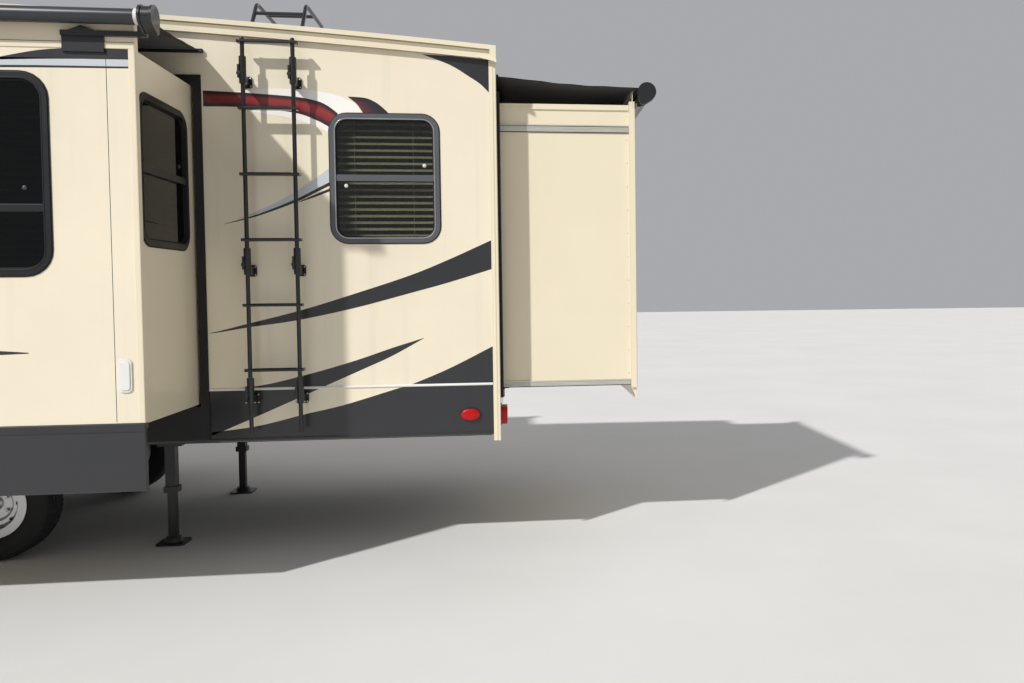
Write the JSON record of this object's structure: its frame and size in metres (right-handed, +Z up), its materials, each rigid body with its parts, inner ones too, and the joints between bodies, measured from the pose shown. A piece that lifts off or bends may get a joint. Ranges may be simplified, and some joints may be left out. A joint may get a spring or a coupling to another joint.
{
  "type": "travel caravan",
  "caption": "Long towed travel caravan on two axles with extended slide-out rooms, a raised front deck, side ladder, entry steps and doors that open.",
  "frame": {"origin": "on the ground, under the middle of the whole outline with its rooms extended", "axes": "+X towards the towing end, +Y towards the road side with the ladder, +Z up"},
  "size_m": [10.537, 4.404, 3.6783],
  "materials": {
    "wall_cream": "smooth gel coat with printed stripes",
    "trim_cream": "satin paint",
    "roof_skin": "rubber membrane and moulded shrouds",
    "window_black": "satin black",
    "tinted_glass": "dark tinted glass",
    "black_rubber": "matt bulb seal",
    "black_cloth": "coated woven cloth",
    "black_metal": "satin black paint",
    "lamp_red": "red lens",
    "rim_metal": "silver paint",
    "tyre": "worn tread",
    "floor_board": "board under a black film",
    "belly_sheet": "black corrugated sheet"
  },
  "bodies": {
    "body": {"axles": "black_metal", "belly_pan": "belly_sheet", "chassis": "black_metal", "corner_mouldings": "trim_cream", "deck": "floor_board", "door_hinges": "black_metal", "entry_steps": "black_metal", "floor": "floor_board", "front_cap": "wall_cream", "front_legs": "black_metal", "grab_handle": "black_metal", "gutters": "trim_cream", "ladder": "black_metal", "lamps": "lamp_red", "leaf_springs": "black_metal", "left_room_cloth": "black_cloth", "left_wall": "wall_cream", "patio_awning": "trim_cream", "pin_box": "black_metal", "rear_legs": "black_metal", "rear_room_cloth": "black_cloth", "rear_wall": "wall_cream", "right_room_cloth": "black_cloth", "right_wall": "wall_cream", "roof": "roof_skin", "roof_cooler": "roof_skin", "roof_vents": "roof_skin", "room_seals": "black_rubber", "spring_hangers": "black_metal", "upper_frame": "black_metal", "window_frames": "window_black", "window_panes": "tinted_glass"},
    "left_room": {"left_room_face": "wall_cream", "left_room_panes": "tinted_glass", "left_room_shell": "wall_cream", "left_room_topper": "black_metal", "left_room_window_frames": "window_black"},
    "right_room": {"right_room_face": "wall_cream", "right_room_panes": "tinted_glass", "right_room_shell": "wall_cream", "right_room_topper": "black_metal", "right_room_window_frames": "window_black"},
    "rear_room": {"rear_room_face": "wall_cream", "rear_room_panes": "tinted_glass", "rear_room_shell": "wall_cream", "rear_room_topper": "black_metal", "rear_room_window_frames": "window_black"},
    "entry_door": {"entry_door": "wall_cream", "entry_pane": "tinted_glass", "entry_window_frame": "window_black"},
    "left_hatch": {"left_hatch": "wall_cream"},
    "right_hatch": {"right_hatch": "wall_cream"},
    "wheel_left_rear": {"rim_left_rear": "rim_metal", "tyre_left_rear": "tyre"},
    "wheel_left_front": {"rim_left_front": "rim_metal", "tyre_left_front": "tyre"},
    "wheel_right_rear": {"rim_right_rear": "rim_metal", "tyre_right_rear": "tyre"},
    "wheel_right_front": {"rim_right_front": "rim_metal", "tyre_right_front": "tyre"}
  },
  "joints": [
    {"name": "left_room_slide", "type": "slide", "parent": "body", "child": "left_room", "axis": [0, -1, 0], "range_m": [0, 0.804], "deforming": ["left_room_cloth"]},
    {"name": "right_room_slide", "type": "slide", "parent": "body", "child": "right_room", "axis": [0, 1, 0], "range_m": [0, 0.804], "deforming": ["right_room_cloth"]},
    {"name": "rear_room_slide", "type": "slide", "parent": "body", "child": "rear_room", "axis": [1, 0, 0], "range_m": [0, 0.859], "deforming": ["rear_room_cloth"]},
    {"name": "entry_door_hinge", "type": "hinge", "parent": "body", "child": "entry_door", "pos_m": [2.0855, -1.232, 1.86], "axis": [0, 0, 1], "range_deg": [0, 105]},
    {"name": "left_hatch_hinge", "type": "hinge", "parent": "body", "child": "left_hatch", "pos_m": [2.0285, 1.232, 1.367], "axis": [1, 0, 0], "range_deg": [0, 100]},
    {"name": "right_hatch_hinge", "type": "hinge", "parent": "body", "child": "right_hatch", "pos_m": [2.5235, -1.232, 1.367], "axis": [-1, 0, 0], "range_deg": [0, 100]},
    {"name": "wheel_left_rear_spin", "type": "hinge", "parent": "body", "child": "wheel_left_rear", "pos_m": [-1.1115, 0.957, 0.35], "axis": [0, 1, 0], "continuous": true},
    {"name": "wheel_left_front_spin", "type": "hinge", "parent": "body", "child": "wheel_left_front", "pos_m": [-0.2415, 0.957, 0.35], "axis": [0, 1, 0], "continuous": true},
    {"name": "wheel_right_rear_spin", "type": "hinge", "parent": "body", "child": "wheel_right_rear", "pos_m": [-1.1115, -0.957, 0.35], "axis": [0, 1, 0], "continuous": true},
    {"name": "wheel_right_front_spin", "type": "hinge", "parent": "body", "child": "wheel_right_front", "pos_m": [-0.2415, -0.957, 0.35], "axis": [0, 1, 0], "continuous": true}
  ]
}
